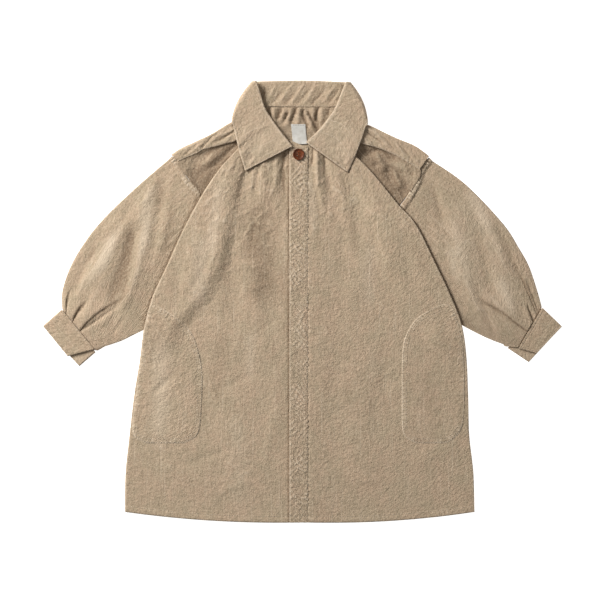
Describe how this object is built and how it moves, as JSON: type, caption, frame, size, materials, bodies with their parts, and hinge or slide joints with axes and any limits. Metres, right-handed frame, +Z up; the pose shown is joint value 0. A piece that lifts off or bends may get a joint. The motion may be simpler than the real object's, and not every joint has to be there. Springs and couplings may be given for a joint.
{
  "type": "child's painter coat, laid flat",
  "caption": "Loose linen child's coat laid flat, with a turned-down collar, gathered neck, full sleeves pleated into cuffs, covered button fly and patch pockets.",
  "frame": {"origin": "on the table under the middle of the coat's outline", "axes": "+X across the coat to the right as seen from above with the collar away from the viewer, +Y from the hem up to the collar, +Z up from the table"},
  "size_m": [0.6995, 0.597, 0.0131],
  "materials": {
    "linen": "washed plain-weave linen",
    "button": "polished brown horn",
    "label": "bare woven tape"
  },
  "bodies": {
    "root": {"back": "linen", "front_left": "linen", "front_right": "linen", "fly": "linen", "collar": "linen", "sleeve_left": "linen", "sleeve_right": "linen", "cuff_left": "linen", "cuff_right": "linen", "pocket_left": "linen", "pocket_right": "linen", "button": "button", "label": "label"}
  },
  "joints": []
}
